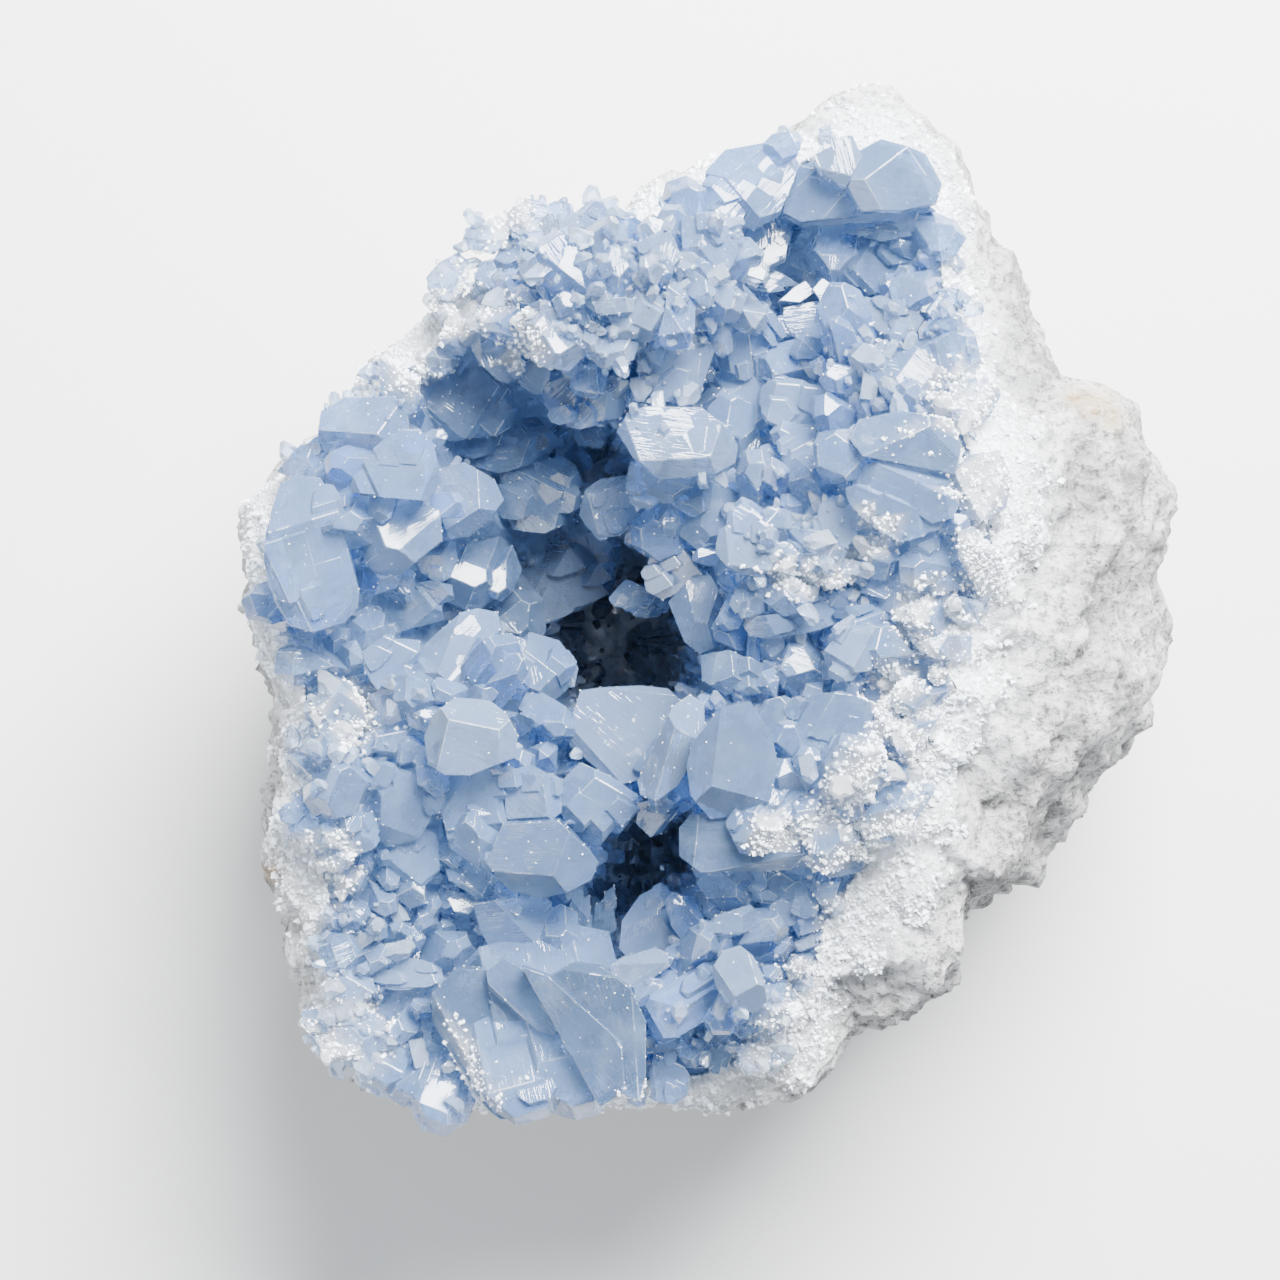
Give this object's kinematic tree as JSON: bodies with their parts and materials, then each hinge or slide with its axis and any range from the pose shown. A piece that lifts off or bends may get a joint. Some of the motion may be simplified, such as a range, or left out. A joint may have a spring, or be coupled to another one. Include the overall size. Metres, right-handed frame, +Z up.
{
  "type": "celestite geode",
  "caption": "Chunk of pale host rock, open at the top, whose hollow is lined with a crust of pale blue blocky crystals; rests on its rounded rind.",
  "frame": {"origin": "on the floor, under the middle of the lump's outline", "axes": "+Z up out of the crystal-lined hollow, +Y along the lump's length towards its peak, +X across it towards the wide side of bare rock"},
  "size_m": [0.1245, 0.1378, 0.0795],
  "materials": {
    "limestone": "rough, powdery, white and grey",
    "celestite": "glassy to frosted, pale blue, milky inside"
  },
  "bodies": {
    "root": {"host_rock": "limestone", "celestite_crystals": "celestite"}
  },
  "joints": []
}
